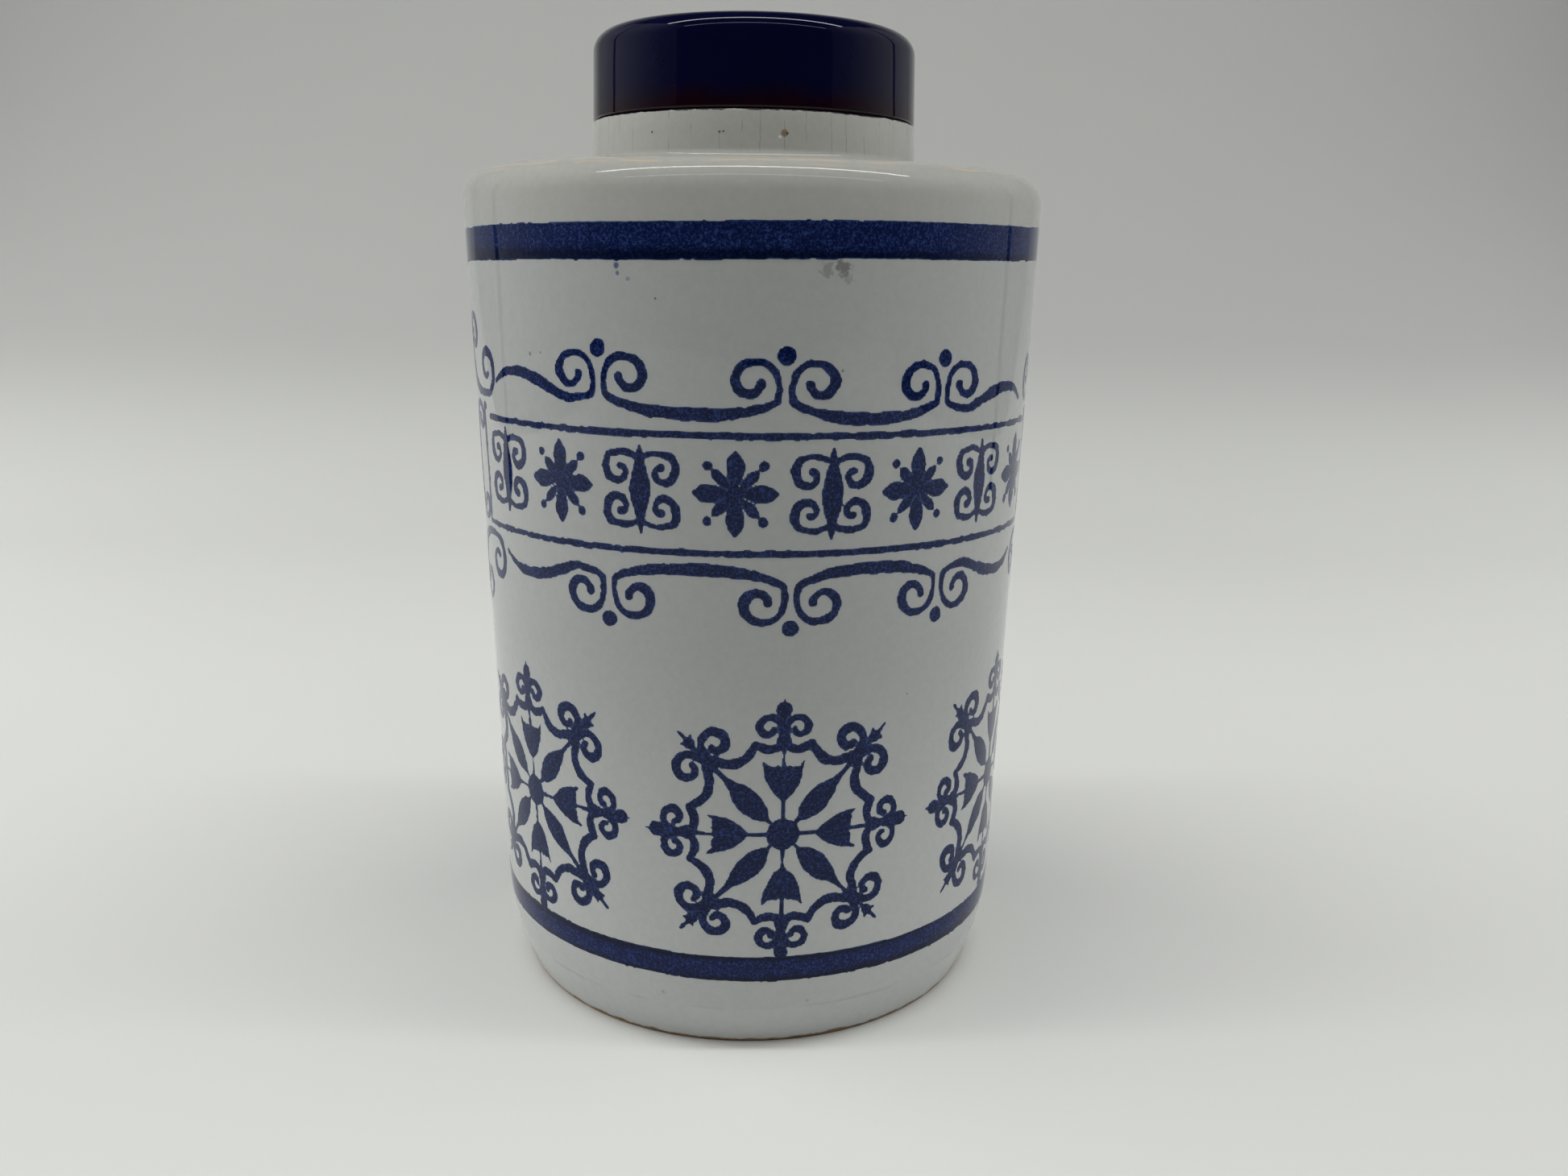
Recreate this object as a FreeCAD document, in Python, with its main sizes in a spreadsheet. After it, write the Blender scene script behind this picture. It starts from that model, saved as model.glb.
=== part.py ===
"""Apothecary jar: a glazed ceramic jar, its flush lid, and the moulded stopper that seals them.

Frame: +Z is up along the axis of the jar. The origin is the centre of the foot ring, where the jar stands.
"""
import FreeCAD
import Part
import Sketcher
import os

DOCUMENT_NAME = "apothecary_jar"
PARTS_FOLDER = "parts"

# How a sketch constraint names the origin and the two axes of its own sketch.
HORIZONTAL_AXIS = -1
VERTICAL_AXIS = -2
ORIGIN_POINT = -1

# Driving dimensions, in millimetres. A radius is measured from the axis of the jar.
SIZES = {
    # body of the jar
    "body_radius": 32.9,          # outside, at the shoulder corner before it is rounded
    "body_height": 94.2,          # from the table to the shoulder corner
    "body_taper": 2.4,            # how much narrower the wall is where it meets the heel
    "heel_height": 9.0,           # where the straight wall turns in towards the foot
    "heel_inset": 0.7,            # from the bottom of the wall in to the crease
    "crease_height": 5.2,         # soft crease between heel and foot bevel
    "bevel_inset": 1.9,           # from the crease in to the edge of the foot
    "wall": 3.2,                  # thickness of the body wall
    "floor": 3.8,                 # thickness of the bottom
    "shoulder_wall": 3.4,         # thickness of the shoulder
    "shoulder_rise": 0.8,         # from the shoulder corner up to the root of the neck
    "shoulder_round": 3.2,
    "crease_round": 5.0,
    "heel_round": 25.0,
    "cavity_round": 4.0,          # inside corners, at the floor and under the shoulder
    # foot ring
    "foot_ring_width": 3.0,
    "foot_recess": 1.6,           # how far the bottom is lifted inside the foot ring
    "foot_recess_draft": 1.2,
    "foot_round": 0.6,
    # neck
    "neck_radius": 18.45,         # outside, at its root
    "neck_height": 4.9,           # from the shoulder to the rim
    "neck_draft": 0.2,            # how much narrower the rim is than the root
    "neck_wall": 3.0,             # thickness at the rim
    "neck_root_round": 1.2,
    "rim_round": 0.3,             # outer edge of the rim
    "mouth_round": 1.0,           # inner edges of the neck
    # lid
    "lid_height": 9.5,
    "lid_draft": 0.2,
    "lid_wall": 3.0,
    "lid_top": 3.0,               # thickness of the top
    "lid_round": 2.2,
    "lid_rim_round": 0.3,
    "lid_bore_round": 0.8,
    # stopper
    "stopper_depth": 5.2,         # how far it reaches down into the neck
    "stopper_core_gap": 1.5,      # from the plain core out to a bore
    "stopper_wall": 1.3,
    "stopper_web": 1.4,           # closed lower end
    "stopper_edge_chamfer": 0.6,  # eases both ends in
    "fin_root": 0.9,              # thickness where a fin leaves the core
    "fin_tip": 0.4,
    "fin_pitch": 2.3,
    "first_fin": 1.4,             # from the rim to the middle of the nearest fin, both ways
    "fin_clearance": 0.15,        # between the fins and the bore of the neck
    "fin_grip": 0.02,             # between the fins and the bore of the lid
}

NECK_FINS = 2
LID_FINS = 2

# Sizes that follow from the driving ones, as expressions over the sheet.
RIM_HEIGHT = "Sizes.body_height + Sizes.shoulder_rise + Sizes.neck_height"
RIM_RADIUS = "Sizes.neck_radius - Sizes.neck_draft"
NECK_BORE = f"{RIM_RADIUS} - Sizes.neck_wall"
LID_BORE = f"{RIM_RADIUS} - Sizes.lid_wall"
HEEL_RADIUS = "Sizes.body_radius - Sizes.body_taper"
CREASE_RADIUS = f"{HEEL_RADIUS} - Sizes.heel_inset"
FOOT_RADIUS = f"{CREASE_RADIUS} - Sizes.bevel_inset"
FLOOR_TOP = "Sizes.foot_recess + Sizes.floor"
CAVITY_TOP = "Sizes.body_height - Sizes.shoulder_wall"
LID_CEILING = "Sizes.lid_height - Sizes.lid_top"
CORE_RADIUS = f"{NECK_BORE} - Sizes.stopper_core_gap"


def make_sheet(doc):
    """Put the driving dimensions in a spreadsheet, one named cell each."""
    sheet = doc.addObject("Spreadsheet::Sheet", "Sizes")
    for row, (name, size) in enumerate(SIZES.items(), start=1):
        sheet.set(f"A{row}", name)
        sheet.set(f"B{row}", str(size))
        sheet.setAlias(f"B{row}", name)
    doc.recompute()
    return sheet


def value(doc, expression):
    """Work out an expression over the sheet, as a plain number."""
    return float(doc.getObject("Sizes").evalExpression(expression))


def make_body(doc, name, height="0"):
    """Start a sub-part whose own origin stands on the axis of the jar at the given height."""
    body = doc.addObject("PartDesign::Body", name)
    body.Label = name
    body.setExpression(".Placement.Base.z", height)
    return body


def side_plane(body):
    """The vertical plane of a body that its turned profiles are drawn on."""
    return next(plane for plane in body.Origin.OriginFeatures if plane.Role == "XZ_Plane")


def turned_profile(doc, body, name, corners):
    """Draw a closed profile whose corners are (radius, height) expressions.

    A radius or a height of "0" puts the corner on the axis or on the body's own base plane.
    """
    sketch = body.newObject("Sketcher::SketchObject", name)
    sketch.AttachmentSupport = (side_plane(body), "")
    sketch.MapMode = "FlatFace"
    points = [FreeCAD.Vector(value(doc, radius), value(doc, height), 0) for radius, height in corners]
    for index, point in enumerate(points):
        sketch.addGeometry(Part.LineSegment(point, points[(index + 1) % len(points)]))
    for index in range(len(points)):
        sketch.addConstraint(Sketcher.Constraint("Coincident", index, 2, (index + 1) % len(points), 1))
    for index, (radius, height) in enumerate(corners):
        pin_corner(sketch, index, "DistanceX", radius, points[index].x, VERTICAL_AXIS)
        pin_corner(sketch, index, "DistanceY", height, points[index].y, HORIZONTAL_AXIS)
    return sketch


def pin_corner(sketch, index, direction, expression, distance, axis):
    """Hold one corner of a profile at a driven distance, or on an axis of the sketch."""
    if expression == "0":
        sketch.addConstraint(Sketcher.Constraint("PointOnObject", index, 1, axis))
        return
    constraint = Sketcher.Constraint(direction, ORIGIN_POINT, 1, index, 1, distance)
    number = sketch.addConstraint(constraint)
    sketch.setExpression(f"Constraints[{number}]", expression)


def turn(doc, body, name, corners, feature="PartDesign::Revolution"):
    """Turn a profile round the axis, to add material (Revolution) or to cut it (Groove)."""
    sketch = turned_profile(doc, body, f"{name}_profile", corners)
    turned = body.newObject(feature, name)
    turned.Profile = sketch
    turned.ReferenceAxis = (sketch, ["V_Axis"])
    turned.Angle = 360
    sketch.Visibility = False
    body.Tip = turned
    doc.recompute()
    return turned


def bore(doc, body, name, corners):
    """Cut a turned profile out of a body, and make sure that it took material away."""
    before = body.Shape.Volume
    groove = turn(doc, body, name, corners, "PartDesign::Groove")
    if body.Shape.Volume >= before:
        raise RuntimeError(f"{name} cut nothing from {body.Label}")
    return groove


def ring_edge(doc, body, radius, height):
    """The name of the round edge of a body's tip that lies at a radius and a height."""
    wanted_radius = value(doc, radius)
    wanted_height = value(doc, height)
    for number, edge in enumerate(body.Tip.Shape.Edges, start=1):
        curve = edge.Curve
        if not isinstance(curve, Part.Circle):
            continue
        if abs(curve.Radius - wanted_radius) < 1e-4 and abs(curve.Center.z - wanted_height) < 1e-4:
            return f"Edge{number}"
    raise RuntimeError(f"{body.Label} has no round edge at radius {radius}, height {height}")


def dress_edge(doc, body, name, feature, size_property, edge, size):
    """Round or chamfer one edge of a body, given as (radius, height) expressions."""
    base = (body.Tip, [ring_edge(doc, body, *edge)])
    dressed = body.newObject(feature, name)
    dressed.Base = base
    dressed.setExpression(size_property, f"Sizes.{size}")
    body.Tip = dressed
    doc.recompute()


def round_edge(doc, body, name, edge, size):
    dress_edge(doc, body, name, "PartDesign::Fillet", "Radius", edge, size)


def chamfer_edge(doc, body, name, edge, size):
    dress_edge(doc, body, name, "PartDesign::Chamfer", "Size", edge, size)


def make_jar_body(doc):
    """The jar: tapered wall, rounded shoulder, short neck, bevelled foot with a recessed bottom."""
    body = make_body(doc, "jar_body")
    neck_root = "Sizes.body_height + Sizes.shoulder_rise"
    turn(doc, body, "outside", [
        ("0", "0"),
        (FOOT_RADIUS, "0"),
        (CREASE_RADIUS, "Sizes.crease_height"),
        (HEEL_RADIUS, "Sizes.heel_height"),
        ("Sizes.body_radius", "Sizes.body_height"),
        ("Sizes.neck_radius", neck_root),
        (RIM_RADIUS, RIM_HEIGHT),
        ("0", RIM_HEIGHT),
    ])
    round_edge(doc, body, "shoulder", ("Sizes.body_radius", "Sizes.body_height"), "shoulder_round")
    round_edge(doc, body, "neck_root", ("Sizes.neck_radius", neck_root), "neck_root_round")
    round_edge(doc, body, "crease", (CREASE_RADIUS, "Sizes.crease_height"), "crease_round")
    round_edge(doc, body, "heel", (HEEL_RADIUS, "Sizes.heel_height"), "heel_round")

    cavity_low_radius = f"{HEEL_RADIUS} - Sizes.wall"
    cavity_high_radius = "Sizes.body_radius - Sizes.wall"
    neck_bore_foot = f"{CAVITY_TOP} + Sizes.shoulder_rise"
    bore(doc, body, "cavity", [
        ("0", FLOOR_TOP),
        (cavity_low_radius, FLOOR_TOP),
        (cavity_high_radius, CAVITY_TOP),
        (NECK_BORE, neck_bore_foot),
        (NECK_BORE, RIM_HEIGHT),
        ("0", RIM_HEIGHT),
    ])
    round_edge(doc, body, "cavity_floor_corner", (cavity_low_radius, FLOOR_TOP), "cavity_round")
    round_edge(doc, body, "cavity_top_corner", (cavity_high_radius, CAVITY_TOP), "cavity_round")
    round_edge(doc, body, "neck_bore_foot", (NECK_BORE, neck_bore_foot), "mouth_round")
    round_edge(doc, body, "mouth", (NECK_BORE, RIM_HEIGHT), "mouth_round")
    round_edge(doc, body, "rim", (RIM_RADIUS, RIM_HEIGHT), "rim_round")

    recess_radius = f"{FOOT_RADIUS} - Sizes.foot_ring_width"
    recess_top_radius = f"{recess_radius} - Sizes.foot_recess_draft"
    bore(doc, body, "foot_recess", [
        ("0", "0"),
        (recess_radius, "0"),
        (recess_top_radius, "Sizes.foot_recess"),
        ("0", "Sizes.foot_recess"),
    ])
    round_edge(doc, body, "foot_outer_edge", (FOOT_RADIUS, "0"), "foot_round")
    round_edge(doc, body, "foot_inner_edge", (recess_radius, "0"), "foot_round")
    round_edge(doc, body, "foot_recess_corner", (recess_top_radius, "Sizes.foot_recess"), "foot_round")
    return body


def make_lid_cap(doc):
    """The lid: a hollow cap, flush with the neck, whose base plane is the rim that it rests on."""
    body = make_body(doc, "lid_cap", RIM_HEIGHT)
    top_radius = f"{RIM_RADIUS} - Sizes.lid_draft"
    turn(doc, body, "outside", [
        ("0", "0"),
        (RIM_RADIUS, "0"),
        (top_radius, "Sizes.lid_height"),
        ("0", "Sizes.lid_height"),
    ])
    round_edge(doc, body, "top_edge", (top_radius, "Sizes.lid_height"), "lid_round")
    bore(doc, body, "bore", [
        ("0", "0"),
        (LID_BORE, "0"),
        (LID_BORE, LID_CEILING),
        ("0", LID_CEILING),
    ])
    round_edge(doc, body, "bore_corner", (LID_BORE, LID_CEILING), "lid_bore_round")
    round_edge(doc, body, "bore_mouth", (LID_BORE, "0"), "lid_bore_round")
    round_edge(doc, body, "lid_rim", (RIM_RADIUS, "0"), "lid_rim_round")
    return body


def add_fin(doc, body, name, tip_radius, middle):
    """Add one sealing fin round the stopper: thick at the core, thin at its tip."""
    root_radius = f"{CORE_RADIUS} - Sizes.stopper_wall / 2"
    turn(doc, body, name, [
        (root_radius, f"{middle} - Sizes.fin_root / 2"),
        (tip_radius, f"{middle} - Sizes.fin_tip / 2"),
        (tip_radius, f"{middle} + Sizes.fin_tip / 2"),
        (root_radius, f"{middle} + Sizes.fin_root / 2"),
    ])


def make_stopper_insert(doc):
    """The stopper: a moulded cup that bottoms in the lid, with fins for the lid and for the neck."""
    body = make_body(doc, "stopper_insert", RIM_HEIGHT)
    lower_end = "-Sizes.stopper_depth"
    turn(doc, body, "core", [
        ("0", lower_end),
        (CORE_RADIUS, lower_end),
        (CORE_RADIUS, LID_CEILING),
        ("0", LID_CEILING),
    ])
    chamfer_edge(doc, body, "lower_edge", (CORE_RADIUS, lower_end), "stopper_edge_chamfer")
    chamfer_edge(doc, body, "upper_edge", (CORE_RADIUS, LID_CEILING), "stopper_edge_chamfer")
    hollow_radius = f"{CORE_RADIUS} - Sizes.stopper_wall"
    hollow_floor = f"{lower_end} + Sizes.stopper_web"
    bore(doc, body, "hollow", [
        ("0", hollow_floor),
        (hollow_radius, hollow_floor),
        (hollow_radius, LID_CEILING),
        ("0", LID_CEILING),
    ])
    for count in range(NECK_FINS):
        middle = f"-Sizes.first_fin - {count} * Sizes.fin_pitch"
        add_fin(doc, body, f"neck_fin_{count + 1}", f"{NECK_BORE} - Sizes.fin_clearance", middle)
    for count in range(LID_FINS):
        middle = f"Sizes.first_fin + {count} * Sizes.fin_pitch"
        add_fin(doc, body, f"lid_fin_{count + 1}", f"{LID_BORE} - Sizes.fin_grip", middle)
    return body


def check_document(doc, bodies):
    """Stop if any object failed to build or any sub-part isn't one valid solid."""
    for item in doc.Objects:
        if "Invalid" in item.State or "Error" in item.State:
            raise RuntimeError(f"{item.Name} did not build: {item.State}")
    for body in bodies:
        shape = body.Shape
        if shape.isNull() or not shape.isValid() or len(shape.Solids) != 1:
            raise RuntimeError(f"{body.Label} is not one valid solid")


def main():
    doc = FreeCAD.newDocument(DOCUMENT_NAME)
    make_sheet(doc)
    bodies = [make_jar_body(doc), make_lid_cap(doc), make_stopper_insert(doc)]
    doc.recompute()
    check_document(doc, bodies)
    os.makedirs(PARTS_FOLDER, exist_ok=True)
    for body in bodies:
        body.Shape.exportStep(os.path.join(PARTS_FOLDER, f"{body.Label}.step"))
        box = body.Shape.BoundBox
        print(f"{body.Label}: {body.Shape.Volume:.0f} mm3, z {box.ZMin:.2f} to {box.ZMax:.2f}, wide {box.XLength:.2f}")


main()
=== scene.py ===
"""Apothecary jar: glazed body, flush cobalt lid, moulded stopper and blue underglaze decoration."""
import math

import bpy
import numpy as np
from mathutils import Matrix, Vector


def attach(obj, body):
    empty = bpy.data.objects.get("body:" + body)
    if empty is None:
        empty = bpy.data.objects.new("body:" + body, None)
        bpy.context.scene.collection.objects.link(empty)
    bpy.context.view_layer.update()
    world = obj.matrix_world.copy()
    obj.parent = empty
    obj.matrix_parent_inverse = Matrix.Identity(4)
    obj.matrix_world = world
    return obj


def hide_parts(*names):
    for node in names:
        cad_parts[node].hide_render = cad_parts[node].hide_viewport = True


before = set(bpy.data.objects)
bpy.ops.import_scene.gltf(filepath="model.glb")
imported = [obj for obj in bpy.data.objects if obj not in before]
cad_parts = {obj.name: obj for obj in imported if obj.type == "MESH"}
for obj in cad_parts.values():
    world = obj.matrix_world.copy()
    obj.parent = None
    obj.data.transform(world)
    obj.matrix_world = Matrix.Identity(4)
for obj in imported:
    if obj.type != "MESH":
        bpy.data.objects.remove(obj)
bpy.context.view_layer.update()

MM = 0.001

# ---------------------------------------------------------------- sizes, in millimetres

FOOT_HOLLOW = 1.6        # how far the underside is hollowed
FLOOR = 5.4              # height of the floor inside
BORE = 15.25             # radius of the neck's bore and of the lid's hollow
RIM_HEIGHT = 99.9        # where the neck ends and the lid starts
LID_ROOF = 106.4         # height of the top of the lid's hollow
LID_TOP = 109.4

# Corners of the turned outlines: radius, height, and the radius that rounds the corner. The jar's goes from
# under the foot up the outside, over the rim and down the inside.
RIM = (18.25, RIM_HEIGHT, 0.3)
JAR_OUTLINE = [
    (0.0, FOOT_HOLLOW, 0.0), (23.7, FOOT_HOLLOW, 0.6), (24.9, 0.0, 0.6), (27.9, 0.0, 0.6), (29.8, 5.2, 5.0),
    (30.5, 9.0, 25.0), (32.9, 94.2, 3.2), (18.45, 95.0, 1.2), RIM,
    (BORE, RIM_HEIGHT, 1.0), (BORE, 91.6, 1.0), (29.7, 90.8, 4.0), (27.3, FLOOR, 4.0), (0.0, FLOOR, 0.0),
]
LID_OUTLINE = [
    (0.0, LID_ROOF, 0.0), (BORE, LID_ROOF, 0.8), (BORE, RIM_HEIGHT, 0.8), RIM, (18.05, LID_TOP, 2.2),
    (0.0, LID_TOP, 0.0),
]
SEGMENTS = 256           # faces round a turned piece
LONGEST_RUN = 2.0        # between two rows of a turned outline
ARC_STEP = math.radians(7.5)
CREASE = math.radians(50)        # edges sharper than this stay sharp when shaded

# The decoration is drawn on the unrolled wall: across = arc length at PRINT_RADIUS from the middle of the
# front, up = height above the table.
PRINT_RADIUS = 31.8
GIRTH = 2 * math.pi * PRINT_RADIUS
PRINT_LIFT = 0.03        # how far the ink stands above the glaze
PRINT_EDGE = -0.02       # where its edges run, just under the glaze
PRINT_SINK = -0.05       # how far its underside is sunk into the wall
CELL = 0.19              # pitch of the grid that the ink is cut from
INK_SPREAD = 0.11        # how far the ink bled past the drawn line, and the width lost in its sunk edge
STROKE_REACH = 0.5       # how far round a stroke its depth is worked out: more than its edge can stray
DRAWING_MARGIN = 1.6     # bare grid that is kept round a drawing
BAND_MARGIN = 1.2        # and over and under a band
GRAIN_ROWS = 97          # rows of the table that the random waver of an edge is read from


# ---------------------------------------------------------------- turned pieces


def rounded(corners):
    """The outline through some corners, with each corner rounded and the long runs divided."""
    path = []
    for index, (radius, height, size) in enumerate(corners):
        here = Vector((radius, height))
        if size == 0.0:
            path.append(here)
            continue
        back = (Vector(corners[index - 1][:2]) - here).normalized()
        ahead = (Vector(corners[index + 1][:2]) - here).normalized()
        half = back.angle(ahead) / 2
        reach = size / math.tan(half)
        centre = here + (back + ahead).normalized() * (size / math.sin(half))
        start = here + back * reach - centre
        end = here + ahead * reach - centre
        turn = math.atan2(start.x * end.y - start.y * end.x, start.dot(end))
        steps = max(4, round(abs(turn) / ARC_STEP))
        path += [centre + Matrix.Rotation(turn * step / steps, 2) @ start for step in range(steps + 1)]
    divided = [path[0]]
    for point in path[1:]:
        last = divided[-1]
        count = max(1, math.ceil((point - last).length / LONGEST_RUN))
        divided += [last.lerp(point, step / count) for step in range(1, count + 1)]
    return np.array(divided)


def placed(angle, radius, height):
    """Places at an angle from the front, a radius and a height, in metres."""
    return np.stack(np.broadcast_arrays(radius * np.sin(angle), -radius * np.cos(angle), height), -1) * MM


def make_mesh(name, points, faces):
    mesh = bpy.data.meshes.new(name)
    mesh.from_pydata(points.tolist(), [], faces)
    mesh.polygons.foreach_set("use_smooth", [True] * len(mesh.polygons))
    piece = bpy.data.objects.new(name, mesh)
    bpy.context.scene.collection.objects.link(piece)
    return piece


def turned(name, corners):
    """A closed turned piece. Its outline starts and ends on the axis, with the solid on its left."""
    outline = rounded(corners)
    angles = np.linspace(0.0, 2 * math.pi, SEGMENTS, endpoint=False)
    rings = outline[1:-1]
    poles = [placed(0.0, 0.0, outline[end][1])[None] for end in (0, -1)]
    points = np.concatenate([placed(angles, radius, height) for radius, height in rings] + poles)
    low_pole = len(rings) * SEGMENTS
    last_ring = low_pole - SEGMENTS
    faces = []
    for side in range(SEGMENTS):
        following = (side + 1) % SEGMENTS
        for low in range(0, last_ring, SEGMENTS):
            high = low + SEGMENTS
            faces.append((low + side, low + following, high + following, high + side))
        faces.append((low_pole, following, side))
        faces.append((last_ring + side, last_ring + following, low_pole + 1))
    piece = make_mesh(name, points, faces)
    piece.data.set_sharp_from_angle(angle=CREASE)
    return piece


# ---------------------------------------------------------------- strokes: rows of across, up, half width


def smooth(*stations, steps=6):
    """A smooth stroke through some stations."""
    rows = np.array([stations[0], *stations, stations[-1]], float)
    share = (np.arange(steps) / steps)[:, None]
    parts = []
    for a, b, c, d in zip(rows, rows[1:], rows[2:], rows[3:]):
        bend = (c - a) * share + (2 * a - 5 * b + 4 * c - d) * share**2 + (3 * b - a - 3 * c + d) * share**3
        parts.append(b + bend / 2)
    return np.concatenate(parts + [rows[-1:]])


def spiral(centre, *stations, step=15):
    """Stations along a spiral, given as rows of degrees, radius and half width."""
    degrees, radii, halves = np.array(stations, float).T
    count = round(abs(degrees[-1] - degrees[0]) / step) + 1
    turns = np.linspace(degrees[0], degrees[-1], count)
    order = np.argsort(degrees)
    radius = np.interp(turns, degrees[order], radii[order])
    half = np.interp(turns, degrees[order], halves[order])
    angle = np.radians(turns)
    return np.stack([centre[0] + radius * np.cos(angle), centre[1] + radius * np.sin(angle), half], -1)


def dot(across, up, radius):
    return np.array([(across, up, radius), (across + 0.01, up, radius)])


def mirrored(strokes, across=0.0):
    return [stroke * (-1, 1, 1) + (2 * across, 0, 0) for stroke in strokes]


def upended(strokes, up=0.0):
    return [stroke * (1, -1, 1) + (0, 2 * up, 0) for stroke in strokes]


def shifted(strokes, across, up=0.0):
    return [stroke + (across, up, 0) for stroke in strokes]


def rotated(strokes, degrees):
    cosine = math.cos(math.radians(degrees))
    sine = math.sin(math.radians(degrees))
    turn = np.array([(cosine, sine, 0), (-sine, cosine, 0), (0, 0, 1)])
    return [stroke @ turn for stroke in strokes]


# ---------------------------------------------------------------- the drawing

MIDLINE = 62.6           # height of the panel's middle, about which its lower parts mirror the upper ones
PANEL_CENTRE = 3.2       # across, as is MEDALLION_CENTRE
PANEL_DOTS = 76.0        # height of the dots over the panel
MOTIF_PITCH = 9.6
MOTIFS = 8
MEDALLION_LEVEL = 26.3
MEDALLION_CENTRE = 3.6
MEDALLION_STRAYS = (0.0, -0.2, 0.5, -0.4, 0.3, 1.2)     # how far across each was put down from its place
STRAY_RISE = 0.2         # how far it was also raised, and tilted in degrees, for each mm of that
STRAY_TILT = 1.5


def border(left_span, right_span):
    """The upper border of a panel about its middle: three pairs of volutes under dots, joined by swags."""
    volute = spiral(
        (3.0, 73.5),
        (-165, 0.7, 0.42), (-120, 0.85, 0.32), (-60, 1.4, 0.4), (0, 1.8, 0.48), (90, 1.85, 0.33),
        (180, 2.3, 0.28), (225, 2.9, 0.32),
    )
    strokes = []
    for start, span in ((-left_span, left_span), (0.0, right_span)):
        half = np.concatenate([volute, [(2.8, 70.75, 0.42), (span * 0.3, 70.25, 0.54)]])
        swag = np.concatenate([half, [(span / 2, 70.1, 0.58)], mirrored([half], span / 2)[0][::-1]])
        strokes += shifted([swag], start)
    tail = [
        (2.4, 71.0, 0.34), (4.2, 70.9, 0.4), (6.2, 71.6, 0.5), (8.7, 72.4, 0.58), (11.7, 72.8, 0.5),
        (14.2, 72.5, 0.36), (16.4, 71.3, 0.12),
    ]
    end = np.concatenate([volute, tail])
    strokes += [*shifted([end], right_span), *shifted(mirrored([end]), -left_span)]
    dots = [dot(across, PANEL_DOTS, 0.82) for across in (-left_span, 0.0, right_span)]
    return [smooth(*row, steps=3) for row in strokes] + dots


def panel_frame():
    """The two long lines of a panel and the short upright one at each end."""
    upright = smooth((-39.3, 68.9, 0.24), (-39.9, 68.6, 0.26), (-39.8, 62.6, 0.25), (-39.9, 56.5, 0.26))
    upper = smooth((-37.6, 68.0, 0.27), (0.0, 68.3, 0.28), (37.6, 68.1, 0.27), steps=30)
    lower = smooth((-39.9, 56.1, 0.26), (0.0, 56.6, 0.28), (39.9, 56.3, 0.26), steps=30)
    return [upper, lower, upright, *mirrored([upright])]


def side_scroll():
    """The quarter of the scrollwork that stands to the left of a panel and above its middle."""
    inner = spiral(
        (-37.9, 73.2),
        (660, 0.7, 0.3), (540, 1.35, 0.34), (450, 1.75, 0.45), (360, 1.95, 0.42), (280, 2.7, 0.34),
    )
    outer = spiral(
        (-43.4, 76.6), (180, 2.4, 0.4), (90, 2.0, 0.36), (0, 1.8, 0.46), (-90, 1.2, 0.4), (-190, 0.7, 0.4),
    )
    link = [(-40.4, 70.4, 0.38), (-43.4, 71.4, 0.52), (-45.3, 73.8, 0.5)]
    hook = spiral(
        (-42.0, 67.5),
        (-190, 0.5, 0.36), (-90, 0.9, 0.36), (0, 1.3, 0.42), (90, 1.45, 0.34), (180, 2.0, 0.34),
    )
    back = [(-44.6, 65.0, 0.46), (-45.0, MIDLINE, 0.54)]
    end = -49.95         # a quarter of the way round, where the front scrolls meet those of the back
    bud = smooth((end, 62.7, 0.9), (end, 64.4, 0.7), (end, 66.4, 0.12))
    point = smooth((end, 71.0, 0.15), (end, 73.4, 0.7), (end, 76.6, 0.12))
    return [
        smooth(*np.concatenate([inner, link, outer]), steps=3),
        smooth(*np.concatenate([hook, back]), steps=3),
        bud, dot(end, 68.6, 0.6), point,
    ]


def row_of_motifs():
    """The generic ornament between the two long lines: leaves with curls, and rosettes, by turns."""
    eye = spiral(
        (2.4, 60.7), (-60, 1.75, 0.3), (0, 1.3, 0.42), (90, 1.1, 0.34), (180, 0.8, 0.26), (240, 0.4, 0.34),
    )
    curl = smooth((0.2, 59.4, 0.22), (1.6, 58.9, 0.26), *eye, steps=3)
    curls = [curl, *mirrored([curl])]
    blade = smooth((0, 58.2, 0.1), (0, 60.0, 0.5), (0, 62.6, 1.05), (0, 65.2, 0.5), (0, 67.0, 0.1))
    leaf = [blade, *curls, *upended(curls, MIDLINE)]
    petal = smooth((0, 0.7, 0.2), (0, 1.6, 0.62), (0, 2.7, 0.86), (0, 3.5, 0.5), (0, 4.1, 0.12))
    short = smooth((0, 0.7, 0.15), (0, 1.6, 0.42), (0, 2.4, 0.5), (0, 3.1, 0.12))
    petals = [part for turn in range(0, 360, 90) for part in rotated([petal], turn)]
    petals += [part for turn in range(45, 360, 90) for part in rotated([short, dot(0, 3.9, 0.42)], turn)]
    rosette = shifted([dot(0, 0, 0.8), *petals], 0, MIDLINE)
    row = []
    for place in range(MOTIFS):
        row += shifted(rosette if place % 2 else leaf, (place - (MOTIFS - 1) / 2) * MOTIF_PITCH)
    return row


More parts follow.
